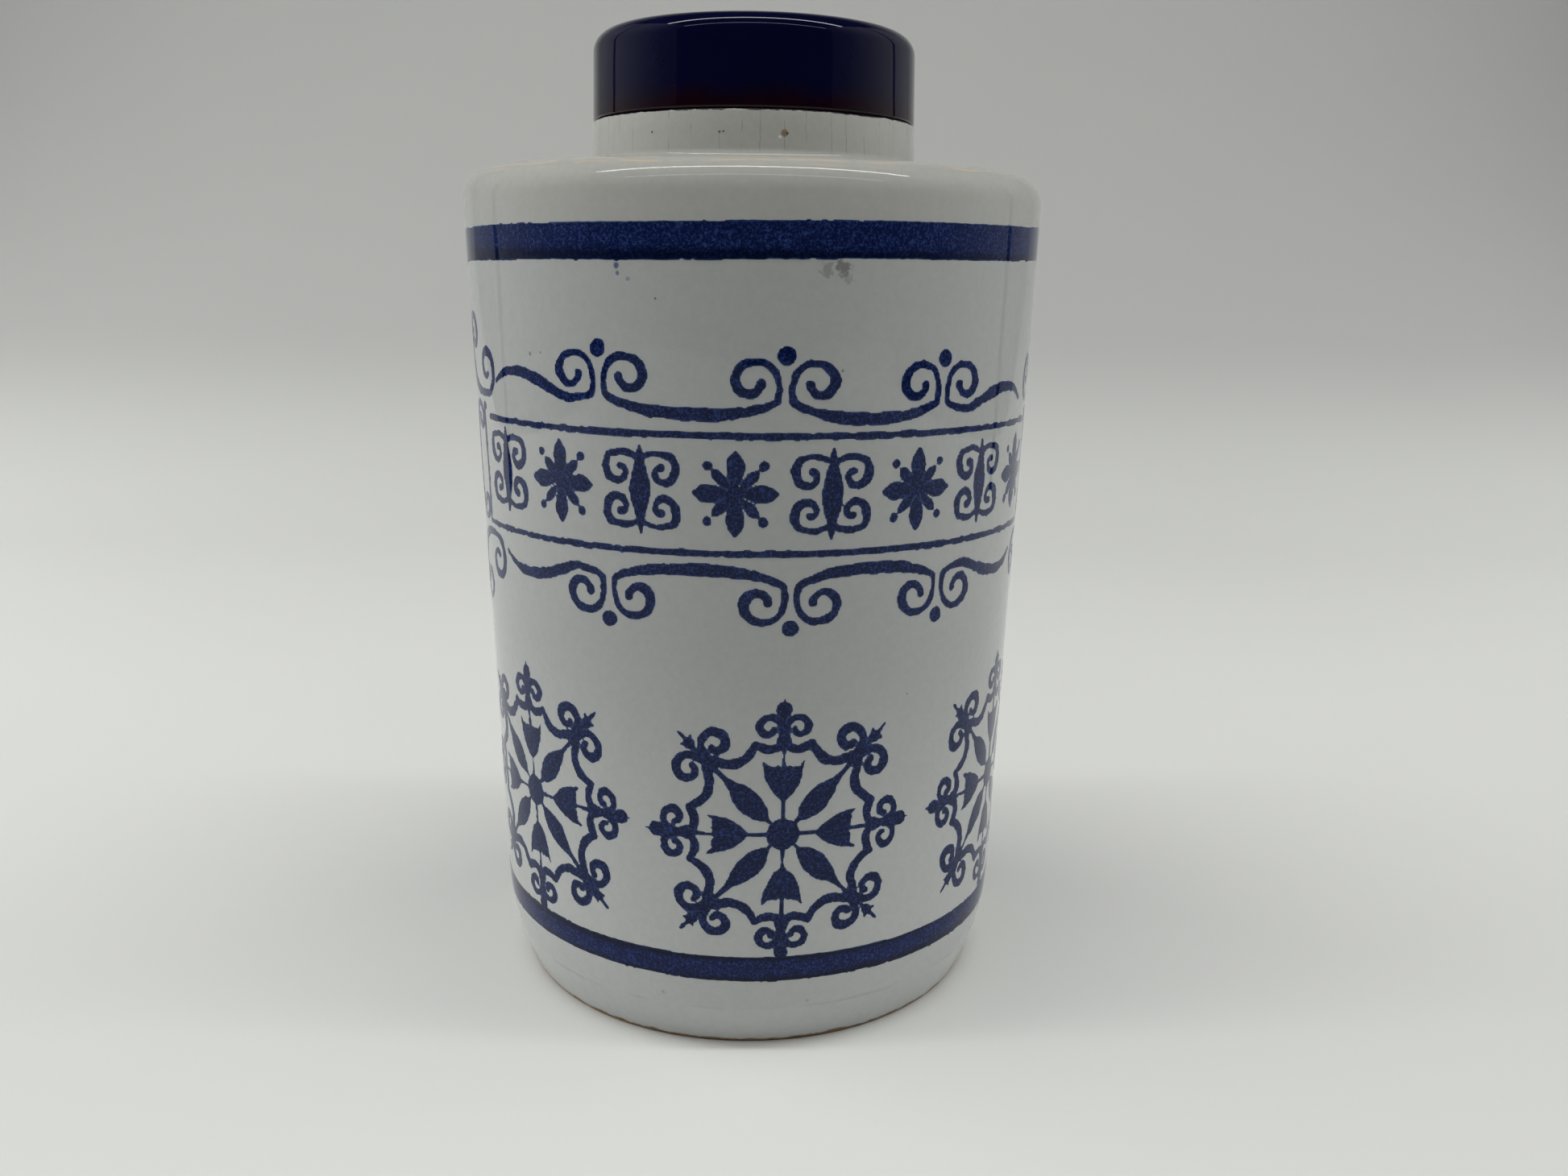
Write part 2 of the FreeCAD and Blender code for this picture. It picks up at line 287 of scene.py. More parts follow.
def medallion():
    """The round medallion about its own centre: one eighth, mirrored and turned."""
    stem = smooth((0, 1.2, 0.14), (0, 6.0, 0.12), (0, 12.6, 0.2))
    tulip = [
        smooth((0, 3.8, 0.1), (0.4 * top, 4.9, 0.5), (0.85 * top, 6.2, 0.6), (top, 7.3, 0.36))
        for top in (0, 0.7, 1.35)
    ]
    tulip.append(smooth(
        (0.1, 4.1, 0.1), (0.8, 5.1, 0.3), (1.5, 6.3, 0.32), (1.75, 7.2, 0.3), (2.2, 8.2, 0.02),
    ))
    axis_horn = smooth(*spiral(
        (1.5, 12.0), (235, 1.9, 0.36), (180, 1.2, 0.34), (90, 1.05, 0.32), (0, 1.1, 0.4), (-90, 0.75, 0.34),
        (-150, 0.45, 0.3),
    ), steps=2)
    bud = smooth(
        (0, 12.4, 0.12), (0, 13.0, 0.14), (0, 13.8, 0.72), (0, 14.2, 0.55), (0, 14.6, 0.14), (0, 15.1, 0.03),
    )
    chain = smooth(
        (0, 10.2, 0.4), (1.2, 9.6, 0.42), (2.4, 9.8, 0.42), (3.05, 10.3, 0.16), (3.3, 9.5, 0.4),
        (4.4, 8.3, 0.46), (5.8, 7.9, 0.48), (7.1, 8.2, 0.48), (8.1, 8.2, 0.62),
    )
    leaf = smooth(
        (0, 1.5, 0.12), (0, 2.5, 0.25), (0, 3.8, 0.95), (0, 5.2, 1.24), (0, 6.6, 0.98), (0, 7.9, 0.5),
        (0, 9.2, 0.2), (0, 11.5, 0.34),
    )
    corner_horn = smooth(*spiral(
        (1.95, 12.4), (230, 2.2, 0.42), (180, 1.45, 0.42), (90, 1.3, 0.4), (0, 1.35, 0.5), (-90, 0.95, 0.4),
        (-170, 0.5, 0.34),
    ), steps=2)
    finial = smooth(
        (0, 11.2, 0.6), (0, 12.5, 0.3), (0, 13.3, 0.16), (0, 14.2, 0.58), (0, 14.8, 0.2), (0, 16.0, 0.08),
    )
    barb = smooth((0, 14.2, 0.3), (0.7, 14.7, 0.08))
    half = [stem, *tulip, axis_horn, bud, chain, *rotated([leaf, corner_horn, finial, barb], -45)]
    half += rotated(mirrored([corner_horn, barb]), -45)
    strokes = [dot(0, 0, 1.72)]
    for turn in range(0, 360, 90):
        strokes += rotated(half + mirrored([part for part in half if part is not stem]), turn)
    return strokes


# ---------------------------------------------------------------- ink


def grain(across, up, size, seed):
    """Smooth random values between -1 and 1 that repeat once round the jar."""
    count = round(GIRTH / size)
    table = np.random.default_rng(seed).uniform(-1, 1, (GRAIN_ROWS, count))
    column = across * count / GIRTH
    row = up / size
    left = np.floor(column).astype(int)
    low = np.floor(row).astype(int)
    x = column - left
    y = row - low
    x = x * x * (3 - 2 * x)
    y = y * y * (3 - 2 * y)

    def cell(down, along):
        return table[(low + down) % GRAIN_ROWS, (left + along) % count]

    lower = cell(0, 0) * (1 - x) + cell(0, 1) * x
    upper = cell(1, 0) * (1 - x) + cell(1, 1) * x
    return lower * (1 - y) + upper * y


def edge_stray(across, up, seed):
    """How far the printed edge strays, in mm."""
    return 0.07 * grain(across, up, 1.3, seed) + 0.08 * grain(across, up, 0.55, seed + 1)


def drawn(strokes, across, up):
    """How far inside some strokes the places of a grid are, in mm."""
    depth = np.full((len(up), len(across)), -1.0)
    for stroke in strokes:
        for (x0, y0, half0), (x1, y1, half1) in zip(stroke, stroke[1:]):
            reach = max(half0, half1) + STROKE_REACH
            columns = slice(*np.searchsorted(across, (min(x0, x1) - reach, max(x0, x1) + reach)))
            rows = slice(*np.searchsorted(up, (min(y0, y1) - reach, max(y0, y1) + reach)))
            x = across[columns][None, :] - x0
            y = up[rows][:, None] - y0
            run = Vector((x1 - x0, y1 - y0))
            share = np.clip((x * run.x + y * run.y) / max(run.length_squared, 1e-9), 0.0, 1.0)
            inside = half0 + (half1 - half0) * share - np.hypot(x - run.x * share, y - run.y * share)
            depth[rows, columns] = np.maximum(depth[rows, columns], inside)
    return depth


def traced(depth, wraps):
    """The part of a grid where depth is above 0: its points (row, column), which of them are on its edge, and
    its faces."""
    rows, columns = depth.shape
    last_column = columns if wraps else columns - 1
    known = {}
    places = []
    on_edge = []
    faces = []

    def vertex(key, place, edge):
        if key not in known:
            known[key] = len(places)
            places.append(place)
            on_edge.append(edge)
        return known[key]

    inside = depth > 0
    beside = np.roll(inside, -1, 1)
    busy = (inside | beside)[:-1] | (inside | beside)[1:]
    for row, column in np.argwhere(busy[:, :last_column]).tolist():
        ring = [(row, column), (row, column + 1), (row + 1, column + 1), (row + 1, column)]
        face = []
        for here, there in zip(ring, ring[1:] + ring[:1]):
            here_key = (here[0], here[1] % columns)
            there_key = (there[0], there[1] % columns)
            a = depth[here_key]
            b = depth[there_key]
            if a > 0:
                face.append(vertex(here_key, here, False))
            if (a > 0) != (b > 0):
                # Kept off the corners of the cell, so that no face is a sliver.
                share = min(max(a / (a - b), 0.08), 0.92)
                place = (here[0] + share * (there[0] - here[0]), here[1] + share * (there[1] - here[1]))
                face.append(vertex(frozenset((here_key, there_key)), place, True))
        faces.append(face)
    return np.array(places), np.array(on_edge), faces


# The outside of the wall, from the bevel of the foot to its widest place, under the shoulder.
jar_path = rounded(JAR_OUTLINE)
wall_path = jar_path[:np.argmax(jar_path[:, 0]) + 1]
wall_path = wall_path[wall_path[:, 1] > 2.0]


def wall_radius(height):
    return np.interp(height, wall_path[:, 1], wall_path[:, 0])


def printed(name, depth, across, up, material, wraps=False):
    """A print on the wall: a thin closed skin over the places where depth is above 0."""
    places, on_edge, faces = traced(depth, wraps)
    angle = (across[0] + places[:, 1] * (across[1] - across[0])) / PRINT_RADIUS
    height = up[0] + places[:, 0] * (up[1] - up[0])
    radius = wall_radius(height)
    top = placed(angle, radius + np.where(on_edge, PRINT_EDGE, PRINT_LIFT), height)
    under = placed(angle, radius + PRINT_SINK, height)[~on_edge]
    below = np.arange(len(top))
    below[~on_edge] = len(top) + np.arange(len(under))
    below = below.tolist()
    undersides = [[below[corner] for corner in reversed(face)] for face in faces]
    piece = make_mesh(name, np.concatenate([top, under]), faces + undersides)

    # The ink lies under the glaze, so it takes the wall's own normals and shows no edge of its own.
    slope = np.interp(height, wall_path[1:, 1], np.diff(wall_path[:, 0]) / np.diff(wall_path[:, 1]))
    outward = placed(angle, 1.0, 0.0) / MM
    outward[:, 2] = -slope
    outward /= np.linalg.norm(outward, axis=1, keepdims=True)
    outward = np.concatenate([outward, outward[~on_edge]])
    corners = np.empty(len(piece.data.loops), int)
    piece.data.loops.foreach_get("vertex_index", corners)
    facing = np.ones((len(corners), 1))
    facing[len(corners) // 2:] = -1
    piece.data.normals_split_custom_set(outward[corners] * facing)

    # How deep inside the print each point is, for the colour of its edges.
    rows, columns = np.rint(places).astype(int).T
    within = np.where(on_edge, 0.0, depth[rows, columns % depth.shape[1]])
    layer = piece.data.attributes.new("ink", "FLOAT", "POINT")
    layer.data.foreach_set("value", np.concatenate([within, within[~on_edge]]).astype(np.float32))
    piece.data.materials.append(material)
    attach(piece, "jar")
    return piece


def printed_strokes(name, strokes, centre, tilt, seed, material):
    """Prints some strokes, drawn about across = 0, with their middle at centre and tilted by some degrees."""
    level = np.mean([stroke[:, 1].mean() for stroke in strokes])
    strokes = shifted(rotated(shifted(strokes, 0, -level), tilt), 0, level)
    points = np.concatenate(strokes)
    low = points[:, :2].min(0) - DRAWING_MARGIN
    high = points[:, :2].max(0) + DRAWING_MARGIN
    across = np.arange(low[0], high[0], CELL)
    up = np.arange(low[1], high[1], CELL)
    depth = drawn(strokes, across, up)
    depth += edge_stray(across[None, :], up[:, None], seed) + INK_SPREAD
    # Below 0 along the border of the grid, so that no skin is left open there.
    to_end = np.minimum(up - up[0], up[-1] - up)
    to_side = np.minimum(across - across[0], across[-1] - across)
    depth = np.minimum(depth, np.minimum.outer(to_end, to_side) - 0.01)
    return printed(name, depth, across + centre, up, material)


def printed_band(name, low, high, tilt, ragged, seed, material):
    """A brushed band right round the jar between two heights."""
    across = np.linspace(-GIRTH / 2, GIRTH / 2, round(GIRTH / CELL), endpoint=False)
    up = np.arange(low - BAND_MARGIN, high + BAND_MARGIN, CELL)
    angle = across / PRINT_RADIUS
    level = tilt * np.sin(angle) + 0.08 * np.sin(2 * angle + seed) + 0.05 * np.sin(5 * angle + 2 * seed)
    x = across[None, :]
    y = up[:, None]
    floor = low + level + 0.05 * grain(across, up[0], 1.7, seed) + 0.05 * grain(across, up[0], 0.5, seed + 1)
    ceiling = high + level + ragged * grain(across, up[0], 3.6, seed + 2)
    ceiling += ragged * grain(across, up[0], 0.5, seed + 3)
    depth = np.minimum(y - floor, ceiling - y) + 0.04 * grain(x, y, 0.5, seed + 5)
    return printed(name, depth, across, up, material, wraps=True)


# ---------------------------------------------------------------- materials


class Nodes:
    """Adds nodes to one material, so that a look reads from top to bottom."""

    def __init__(self, name):
        self.material = bpy.data.materials.new(name)
        self.material.use_nodes = True
        self.tree = self.material.node_tree
        self.tree.nodes.clear()
        self.place = self.add("ShaderNodeTexCoord").outputs["Object"]

    def add(self, kind, inputs=None, **settings):
        node = self.tree.nodes.new(kind)
        for key, setting in settings.items():
            setattr(node, key, setting)
        for key, source in (inputs or {}).items():
            self.feed(node.inputs[key], source)
        return node

    def feed(self, socket, source):
        if isinstance(source, bpy.types.NodeSocket):
            self.tree.links.new(source, socket)
        else:
            socket.default_value = source

    def noise(self, size_mm, detail=2.0, stretch=(1, 1, 1), offset=0.0, roughness=0.5):
        """Noise from 0 to 1 with features of about this size."""
        place = self.add("ShaderNodeMapping", {
            "Vector": self.place, "Scale": stretch, "Location": (offset, offset, offset),
        }).outputs["Vector"]
        return self.add("ShaderNodeTexNoise", {
            "Vector": place, "Scale": 1 / (size_mm * MM), "Detail": detail, "Roughness": roughness,
        }).outputs["Fac"]

    def ramp(self, value, low, high, start=0.0, end=1.0):
        """start where value is at low, end where it is at high, smoothly between."""
        return self.add("ShaderNodeMapRange", {
            "Value": value, "From Min": low, "From Max": high, "To Min": start, "To Max": end,
        }, interpolation_type="SMOOTHSTEP").outputs["Result"]

    def ramp_mm(self, distance, low_mm, high_mm, start=0.0, end=1.0):
        return self.ramp(distance, low_mm * MM, high_mm * MM, start, end)

    def maths(self, operation, *values):
        return self.add("ShaderNodeMath", dict(enumerate(values)), operation=operation).outputs["Value"]

    def mix(self, share, first, second):
        # The colour sockets share their names with the number sockets, so they are picked by place.
        node = self.add("ShaderNodeMix", data_type="RGBA")
        self.feed(node.inputs[0], share)
        self.feed(node.inputs[6], first)
        self.feed(node.inputs[7], second)
        return node.outputs[2]

    def scaled(self, colour, factor):
        node = self.add("ShaderNodeVectorMath", {0: colour, "Scale": factor}, operation="SCALE")
        return node.outputs["Vector"]

    def height(self):
        """Height above the table, in metres."""
        return self.add("ShaderNodeSeparateXYZ", {"Vector": self.place}).outputs["Z"]

    def stray_height(self, stray_mm, noise):
        """Height above the table, in metres, raised by up to a stray where the noise is 1."""
        return self.maths("MULTIPLY_ADD", noise, stray_mm * MM, self.height())

    def radius(self):
        """Distance from the jar's axis, in metres."""
        flat = self.add("ShaderNodeVectorMath", {0: self.place, 1: (1, 1, 0)}, operation="MULTIPLY")
        length = self.add("ShaderNodeVectorMath", {0: flat.outputs["Vector"]}, operation="LENGTH")
        return length.outputs["Value"]

    def spot(self, middle_mm, radius_mm, softness=0.5, ragged=0.0):
        """1 inside a ball round a place, 0 outside."""
        away = self.add("ShaderNodeVectorMath", {
            0: self.place, 1: tuple(value * MM for value in middle_mm),
        }, operation="DISTANCE").outputs["Value"]
        if ragged:
            away = self.maths("MULTIPLY_ADD", self.noise(radius_mm * 0.7, 3.0), ragged * MM, away)
            away = self.maths("SUBTRACT", away, ragged * MM / 2)
        return self.ramp(away, radius_mm * MM * (1 + softness), radius_mm * MM * (1 - softness))

    def bump(self, height, depth_mm, normal=None):
        inputs = {"Height": height, "Strength": 1.0, "Distance": depth_mm * MM}
        if normal is not None:
            inputs["Normal"] = normal
        return self.add("ShaderNodeBump", inputs).outputs["Normal"]

    def finish(self, **inputs):
        shader = self.add("ShaderNodeBsdfPrincipled")
        for key, source in inputs.items():
            self.feed(shader.inputs[key.replace("_", " ")], source)
        output = self.add("ShaderNodeOutputMaterial")
        self.tree.links.new(shader.outputs["BSDF"], output.inputs["Surface"])
        return self.material


GLAZE_ROUGHNESS = 0.03
GLAZE_SHINE = 0.32       # 0.5 is the shine of clear glass: this glaze is slightly worn
INK_SHINE = 0.2
NECK_RADIUS = 18.35      # halfway up the neck
CRACK_PITCH = 2.4        # usual distance between two cracks round the neck


def glaze_skin(look):
    """The slightly wavy surface of the fired glaze, the same over the bare body and over the ink."""
    waves = look.bump(look.noise(14.0, 1.0), 0.06)
    return look.bump(look.noise(1.1, 2.0), 0.0012, waves)


def on_wall(across, up, radius=None):
    """A place on the jar's outside, in millimetres."""
    radius = radius or float(wall_radius(up))
    angle = across / radius
    return radius * math.sin(angle), -radius * math.cos(angle), up


# Small firing flaws and stains, and the painted shade and highlight at the edges of one pit: where they are,
# their radius, how ragged, how strong and their colour.
FLAWS = [
    (on_wall(3.1, 97.5, NECK_RADIUS), 0.36, 0.25, 0.9, (0.26, 0.18, 0.10)),
    # Painted shade: the dark right edge of the pit above.
    (on_wall(3.4, 97.5, NECK_RADIUS), 0.13, 0.1, 0.8, (0.07, 0.045, 0.03)),
    # Painted highlight: the bright lower left edge of the pit.
    (on_wall(2.65, 97.15, NECK_RADIUS), 0.15, 0.2, 0.8, (0.88, 0.88, 0.85)),
    (on_wall(-3.55, 97.55, NECK_RADIUS), 0.13, 0.1, 0.8, (0.05, 0.04, 0.04)),
    (on_wall(-3.15, 97.6, NECK_RADIUS), 0.11, 0.0, 0.8, (0.05, 0.04, 0.04)),
    (on_wall(-11.3, 97.7, NECK_RADIUS), 0.13, 0.1, 0.8, (0.07, 0.06, 0.05)),
    (on_wall(-19.0, 95.6, 18.6), 0.22, 0.3, 0.7, (0.06, 0.05, 0.06)),
    (on_wall(-13.4, 84.2), 0.28, 0.3, 0.8, (0.02, 0.05, 0.16)),
    (on_wall(-13.3, 83.5), 0.2, 0.2, 0.7, (0.03, 0.07, 0.20)),
    (on_wall(-12.2, 83.0), 0.2, 0.3, 0.5, (0.06, 0.12, 0.26)),
    (on_wall(7.0, 84.0), 0.6, 1.9, 0.45, (0.16, 0.15, 0.14)),
    (on_wall(8.6, 84.2), 0.7, 2.2, 0.6, (0.09, 0.08, 0.075)),
    (on_wall(9.0, 83.3), 0.5, 1.7, 0.4, (0.24, 0.22, 0.19)),
    (on_wall(-25.0, 75.4), 0.2, 0.3, 0.6, (0.10, 0.10, 0.10)),
    (on_wall(-23.3, 75.6), 0.14, 0.2, 0.5, (0.14, 0.14, 0.13)),
    (on_wall(-9.4, 81.2), 0.12, 0.1, 0.7, (0.06, 0.06, 0.07)),
    (on_wall(8.8, 74.6), 0.13, 0.1, 0.7, (0.06, 0.06, 0.07)),
    (on_wall(17.5, 40.5), 0.14, 0.2, 0.5, (0.16, 0.16, 0.15)),
    (on_wall(-9.5, 6.6), 0.25, 0.7, 0.4, (0.26, 0.27, 0.27)),
    (on_wall(6.5, 5.9), 0.2, 0.5, 0.4, (0.28, 0.27, 0.25)),
    (on_wall(40.0, 48.0), 0.3, 0.4, 0.5, (0.14, 0.12, 0.10)),
    (on_wall(-70.0, 31.0), 0.25, 0.3, 0.5, (0.10, 0.09, 0.09)),
    (on_wall(88.0, 80.0), 0.3, 0.5, 0.5, (0.05, 0.08, 0.18)),
]


def white_tones(look):
    """The white itself: warmer on the shoulder, with painted light that makes it lighter on the neck and
    towards the foot.
    """
    cool = look.mix(look.noise(22.0, 3.0), (0.437, 0.455, 0.450, 1), (0.462, 0.475, 0.468, 1))
    warm = look.mix(look.noise(12.0, 4.0, offset=3.0), (0.448, 0.451, 0.423, 1), (0.478, 0.481, 0.454, 1))
    shoulder = look.ramp_mm(look.stray_height(4.0, look.noise(9.0)), 88.5, 92.5)
    # Painted light: the neck is made lighter, standing in for the light from above that falls on it.
    neck = look.ramp_mm(look.height(), 95.2, 96.2)
    # Painted light: the lower wall is made lighter towards the foot, standing in for the light that the table
    # throws up on to it.
    foot = look.ramp_mm(look.stray_height(3.0, look.noise(8.0)), 50.0, 18.0)
    colour = look.mix(shoulder, cool, warm)
    colour = look.mix(neck, colour, (0.515, 0.517, 0.487, 1))
    colour = look.mix(foot, colour, (0.548, 0.565, 0.556, 1))
    return look.scaled(colour, look.ramp(look.noise(0.9, 3.0, roughness=0.7), 0.35, 0.65, 0.97, 1.015))


def warm_rings(look, colour):
    """Warm broken rings along the turning, on the edge of the shoulder."""
    along = look.maths("MULTIPLY", look.maths("SUBTRACT", look.radius(), look.height()), 5.0 / MM)
    wave = look.maths("SINE", look.maths("MULTIPLY_ADD", look.noise(9.0, 2.0), 14.0, along))
    patches = look.ramp(look.noise(3.5, 2.0, offset=7.0), 0.35, 0.55)
    rings = look.maths("MULTIPLY", look.ramp(wave, 0.3, 0.9), patches)
    high = look.ramp_mm(look.height(), 93.2, 93.8)
    outer = look.ramp_mm(look.radius(), 27.5, 29.0, 0.0, 0.8)
    share = look.maths("MULTIPLY", rings, look.maths("MULTIPLY", high, outer))
    return look.mix(share, colour, (0.66, 0.53, 0.37, 1))


def neck_cracks(look, colour):
    """Fine upright cracks in the glaze of the neck."""
    place = look.add("ShaderNodeSeparateXYZ", {"Vector": look.place}).outputs
    angle = look.maths("ARCTAN2", place["X"], place["Y"])
    waver = look.maths("MULTIPLY", look.noise(1.5), 0.15)
    along = look.maths("MULTIPLY_ADD", angle, NECK_RADIUS / CRACK_PITCH, waver)
    crack = look.add(
        "ShaderNodeTexVoronoi", {"W": along, "Scale": 1.0},
        voronoi_dimensions="1D", feature="DISTANCE_TO_EDGE",
    ).outputs["Distance"]
    on_neck = look.ramp_mm(look.height(), 95.2, 96.0)
    patches = look.ramp(look.noise(2.6, 2.0, offset=9.0), 0.42, 0.58, 0.0, 0.5)
    share = look.maths("MULTIPLY", look.maths("MULTIPLY", look.ramp(crack, 0.024, 0.006), on_neck), patches)
    return look.mix(share, colour, (0.16, 0.15, 0.14, 1))


def cobalt_run(look, colour):
    """The uneven lower edge of the cobalt glaze, where it ran on to the rim."""
    level = look.stray_height(0.6, look.noise(1.8, 3.0, roughness=0.6))
    return look.mix(look.ramp_mm(level, 99.98, 100.06), colour, (0.010, 0.004, 0.012, 1))


def painted_crease_shade(look, colour):
    """Painted shade in patches along the crease over the foot, standing in for the shading of a crisper
    crease.
    """
    level = look.stray_height(0.5, look.noise(4.0, 3.0))
    crease = look.maths("MULTIPLY", look.ramp_mm(level, 5.15, 5.4), look.ramp_mm(level, 5.75, 5.45))
    patches = look.ramp(look.noise(7.0, 2.0, offset=4.0), 0.4, 0.7, 0.0, 0.3)
    # Painted shade: a thin grey line along the crease.
    return look.mix(look.maths("MULTIPLY", crease, patches), colour, (0.22, 0.22, 0.22, 1))


def white_glaze():
    look = Nodes("white_glaze")
    colour = white_tones(look)
    for mark in (warm_rings, neck_cracks, cobalt_run, painted_crease_shade):
        colour = mark(look, colour)

    # The edge that the jar stands on is bare brown clay.
    bare = look.ramp_mm(look.stray_height(-0.9, look.noise(1.5, 4.0)), 0.12, -0.08)
    clay = look.mix(look.noise(0.8, 4.0), (0.20, 0.11, 0.05, 1), (0.36, 0.24, 0.14, 1))
    colour = look.mix(bare, colour, clay)

    for place, radius, ragged, strength, tone in FLAWS:
        spot = look.spot(place, radius, 0.4, ragged)
        colour = look.mix(look.maths("MULTIPLY", spot, strength), colour, (*tone, 1))
    roughness = look.ramp(bare, 0.0, 1.0, GLAZE_ROUGHNESS, 0.7)
    return look.finish(
        Base_Color=colour, Roughness=roughness, Specular_IOR_Level=GLAZE_SHINE, Normal=glaze_skin(look)
    )


def ink(name, dark, light, heavy=()):
    """Cobalt print under the glaze: mottled, thinner at its edges, and darker between some heights (mm)."""
    look = Nodes(name)
    mottle = look.ramp(look.noise(0.28, 3.0, roughness=0.75), 0.45, 0.68)
    colour = look.mix(mottle, dark, light)
    broad = look.ramp(look.noise(3.0, 3.0, stretch=(1, 1, 3), offset=5.0), 0.35, 0.7, 0.0, 0.35)
    colour = look.mix(broad, colour, dark)
    for start, end in heavy:
        share = look.ramp_mm(look.stray_height(0.7, look.noise(1.2, 3.0)), start, end, 0.75, 0.0)
        colour = look.mix(share, colour, tuple(0.25 * value for value in dark[:3]) + (1,))
    within = look.add("ShaderNodeAttribute", attribute_name="ink").outputs["Fac"]
    colour = look.mix(look.ramp(within, 0.04, 0.2, 0.25, 0.0), colour, (0.10, 0.18, 0.38, 1))
    return look.finish(
        Base_Color=colour, Roughness=GLAZE_ROUGHNESS, Specular_IOR_Level=INK_SHINE, Normal=glaze_skin(look)
    )


def cobalt_glaze():
    """The lid's glaze: almost black, navy above and maroon along the lower edge."""
    look = Nodes("cobalt_glaze")
    navy = look.mix(look.noise(5.0, 4.0), (0.0015, 0.002, 0.017, 1), (0.003, 0.004, 0.030, 1))
    maroon = look.mix(look.noise(1.6, 3.0), (0.006, 0.001, 0.004, 1), (0.012, 0.002, 0.006, 1))
    low = look.ramp_mm(look.stray_height(2.0, look.noise(4.0, 3.0)), 104.0, 101.2)
    skin = look.bump(look.noise(1.3, 2.0), 0.001, look.bump(look.noise(9.0, 1.0), 0.05))
    return look.finish(
        Base_Color=look.mix(low, navy, maroon), Roughness=GLAZE_ROUGHNESS, IOR=1.5, Specular_IOR_Level=0.3,
        Normal=skin,
    )


def stopper_plastic():
    """Milky moulded polyethylene, slightly scuffed."""
    look = Nodes("stopper_plastic")
    colour = look.mix(look.noise(6.0, 4.0), (0.70, 0.69, 0.62, 1), (0.80, 0.80, 0.74, 1))
    roughness = look.ramp(look.noise(3.0, 3.0, offset=2.0), 0.3, 0.7, 0.32, 0.5)
    return look.finish(
        Base_Color=colour, Roughness=roughness, Subsurface_Weight=0.2, Subsurface_Scale=2 * MM,
        Normal=look.bump(look.noise(0.5, 3.0), 0.006),
    )


# ---------------------------------------------------------------- the jar

body = turned("jar_glazed", JAR_OUTLINE)
body.data.materials.append(white_glaze())
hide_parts("jar_body")
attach(body, "jar")

lid = turned("lid_glazed", LID_OUTLINE)
lid.data.materials.append(cobalt_glaze())
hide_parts("lid_cap")
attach(lid, "lid")

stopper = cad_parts["stopper_insert"]
stopper.data.materials.clear()
stopper.data.materials.append(stopper_plastic())

blue_ink = ink("blue_ink", (0.002, 0.007, 0.042, 1), (0.026, 0.054, 0.21, 1))
upper_ink = ink("upper_ink", (0.004, 0.010, 0.055, 1), (0.032, 0.060, 0.21, 1), [(85.7, 86.6)])
lower_ink = ink("lower_ink", (0.002, 0.007, 0.050, 1), (0.024, 0.056, 0.26, 1), [(9.5, 10.1), (12.0, 11.5)])
printed_band("upper_band", 84.85, 88.45, tilt=0.5, ragged=0.04, seed=3, material=upper_ink)
printed_band("lower_band", 8.85, 11.95, tilt=-0.2, ragged=0.04, seed=9, material=lower_ink)

# The panel's parts, each put down a little askew, in degrees.
scroll = side_scroll()
scrolls = [*scroll, *mirrored(scroll[:2])]
panel_parts = [
    ("border_upper", border(18.7, 17.1), -1.3),
    ("border_lower", shifted(upended(border(19.1, 17.1), MIDLINE - 0.15), 0.8), -0.3),
    ("frame", panel_frame(), -0.2),
    ("motifs", row_of_motifs(), -0.4),
    ("scrolls", [*scrolls, *upended(scrolls, MIDLINE)], -0.3),
]
for panel, turn, seed in (("front", 0.0, 60), ("back", GIRTH / 2, 20)):
    for number, (part, strokes, tilt) in enumerate(panel_parts):
        printed_strokes(f"{panel}_{part}", strokes, PANEL_CENTRE + turn, tilt, seed + 3 * number, blue_ink)

for number, stray in enumerate(MEDALLION_STRAYS):
    strokes = shifted(medallion(), 0, MEDALLION_LEVEL + STRAY_RISE * stray)
    place = MEDALLION_CENTRE + stray + number * GIRTH / len(MEDALLION_STRAYS)
    printed_strokes(f"medallion_{number + 1}", strokes, place, STRAY_TILT * stray, 100 + 3 * number, blue_ink)


# ---------------------------------------------------------------- stage, light and camera, in metres

SWEEP_NEAR = -0.6
SWEEP_START = 0.24       # where the paper starts to curve up behind the jar
SWEEP_RADIUS = 0.34
SWEEP_TOP = 0.9
SWEEP_STEPS = 30
SWEEP_HALF_WIDTH = 1.2
CARD_TOP = 0.6
LAMP_COLOUR = (1.0, 0.995, 0.98)
ROOM_COLOUR = (0.012, 0.013, 0.016, 1)
EYE = (0.0, -0.1588, 0.0840)
YAW = math.radians(1.478)
PITCH = math.radians(13.63)
ROLL = math.radians(0.735)
FOCAL_LENGTH = 30.15     # in millimetres, as is SENSOR_WIDTH
SENSOR_WIDTH = 36.0


def sheet_of_paper(name, outline, half_width, material):
    """A sheet bent along an outline of y and z, as wide to each side of the middle."""
    count = len(outline)
    points = np.array([(side * half_width, y, z) for side in (-1, 1) for y, z in outline])
    faces = [(i, i + 1, count + i + 1, count + i) for i in range(count - 1)]
    sheet = make_mesh(name, points, faces)
    sheet.data.materials.append(material)
    return sheet


def card(name, corners, material):
    """A flat four-cornered card that lights or darkens the glaze but isn't in the picture itself."""
    piece = make_mesh(name, np.array(corners), [(0, 1, 2, 3)])
    piece.data.materials.append(material)
    piece.visible_camera = False
    return piece


def upright_card(name, azimuth, distance, width, material):
    """A card that stands across one direction from the jar; azimuth 0 is the front, 90 the right."""
    out = Vector((math.sin(math.radians(azimuth)), -math.cos(math.radians(azimuth))))
    along = Vector((-out.y, out.x)) * width / 2
    near = out * distance
    left = near - along
    right = near + along
    return card(name, [(*left, 0.0), (*right, 0.0), (*right, CARD_TOP), (*left, CARD_TOP)], material)


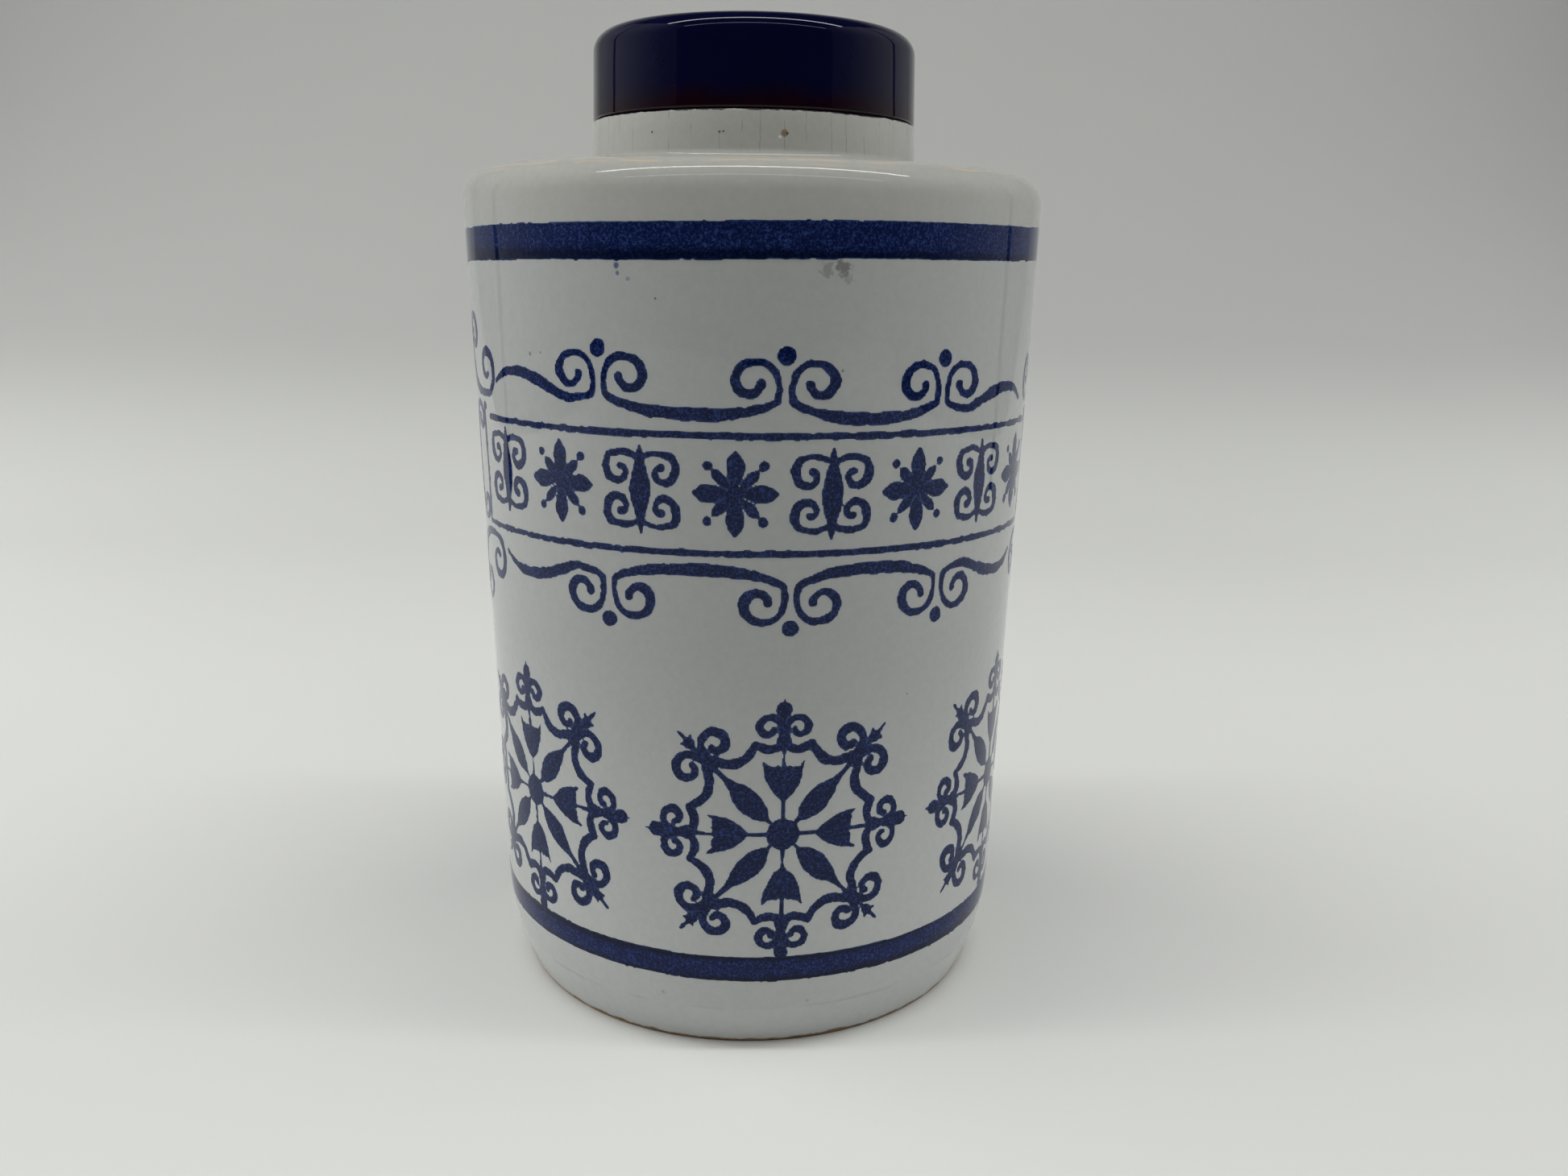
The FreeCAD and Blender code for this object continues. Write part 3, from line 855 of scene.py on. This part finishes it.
def paper(name, colour):
    """Matt paper, slightly uneven, with painted shade that darkens it up the sweep."""
    look = Nodes(name)
    low = tuple(value * 0.97 for value in colour)
    tone = look.mix(look.noise(60.0, 4.0), (*low, 1), (*colour, 1))
    # Painted shade: darker up the sweep, standing in for the lamps' light falling off there.
    tone = look.scaled(tone, look.ramp(look.height(), 0.0, 0.06, 1.0, 0.77))
    return look.finish(Base_Color=tone, Roughness=0.8, Normal=look.bump(look.noise(1.2, 3.0), 0.02))


def tent_wall():
    """The sides of the photographer's tent, with painted shade that makes them darker towards the camera than
    behind the jar.
    """
    look = Nodes("wing_card")
    depth = look.add("ShaderNodeSeparateXYZ", {"Vector": look.place}).outputs["Y"]
    # Painted shade: the card darkens towards the camera.
    tone = look.mix(look.ramp(depth, -0.28, 0.16), (0.12, 0.12, 0.125, 1), (0.5, 0.5, 0.52, 1))
    return look.finish(Base_Color=tone, Roughness=0.8)


sweep = [(SWEEP_NEAR, 0.0), (SWEEP_START, 0.0)]
for angle in np.linspace(0.03, math.pi / 2, SWEEP_STEPS):
    back = SWEEP_START + SWEEP_RADIUS * math.sin(angle)
    sweep.append((back, SWEEP_RADIUS - SWEEP_RADIUS * math.cos(angle)))
sweep.append((SWEEP_START + SWEEP_RADIUS, SWEEP_TOP))
sheet_of_paper("backdrop", sweep, SWEEP_HALF_WIDTH, paper("backdrop_paper", (0.77, 0.782, 0.76)))

# What the glaze mirrors at the jar's two sides: a wall of the tent, and the dark seam towards its back.
wall = tent_wall()
dark = paper("dark_card", (0.02, 0.02, 0.022))
for side in (-1, 1):
    wing = upright_card(f"side_reflection_{side + 2}", side * 96, distance=0.45, width=0.8, material=wall)
    wing.visible_diffuse = False
    wing.visible_shadow = False
    seam = upright_card(f"seam_{side + 2}", side * 113, distance=0.34, width=0.016, material=dark)
    seam.visible_shadow = False


def lamp(name, place, aim, width, depth, watts, mirrored=True):
    """A soft rectangular lamp that faces a place, and that the glaze mirrors or doesn't."""
    light = bpy.data.lights.new(name, "AREA")
    light.shape = "RECTANGLE"
    light.size = width
    light.size_y = depth
    light.energy = watts
    light.color = LAMP_COLOUR
    piece = bpy.data.objects.new(name, light)
    piece.location = place
    piece.rotation_euler = (Vector(aim) - Vector(place)).to_track_quat("-Z", "Y").to_euler()
    piece.visible_glossy = mirrored
    bpy.context.scene.collection.objects.link(piece)
    return piece


lamp("overhead", (0.0, -0.16, 0.78), (0.0, -0.16, 0.0), width=1.3, depth=0.7, watts=2.5, mirrored=False)
lamp("left_wall", (-0.5, 0.05, 0.25), (0.0, 0.0, 0.05), width=0.5, depth=0.4, watts=1.4, mirrored=False)
lamp("right_wall", (0.5, 0.05, 0.25), (0.0, 0.0, 0.05), width=0.5, depth=0.4, watts=0.88, mirrored=False)
lamp("strip_front", (0.0, -0.48, 0.68), (0.0, 0.0, 0.05), width=1.9, depth=0.018, watts=0.75)
lamp("strip_top", (0.0, -0.1, 0.7), (0.0, -0.1, 0.0), width=1.3, depth=0.045, watts=2.25)

room = bpy.data.worlds.new("room")
room.use_nodes = True
room.node_tree.nodes["Background"].inputs["Color"].default_value = ROOM_COLOUR
bpy.context.scene.world = room

lens = bpy.data.cameras.new("camera")
lens.lens = FOCAL_LENGTH
lens.sensor_width = SENSOR_WIDTH
lens.clip_start = 0.01
camera = bpy.data.objects.new("camera", lens)
heading = Matrix.Rotation(-YAW, 4, "Z") @ Matrix.Rotation(math.pi / 2 - PITCH, 4, "X")
camera.matrix_world = Matrix.Translation(EYE) @ heading @ Matrix.Rotation(ROLL, 4, "Z")
bpy.context.scene.collection.objects.link(camera)
bpy.context.scene.camera = camera
bpy.context.scene.view_settings.view_transform = "Standard"
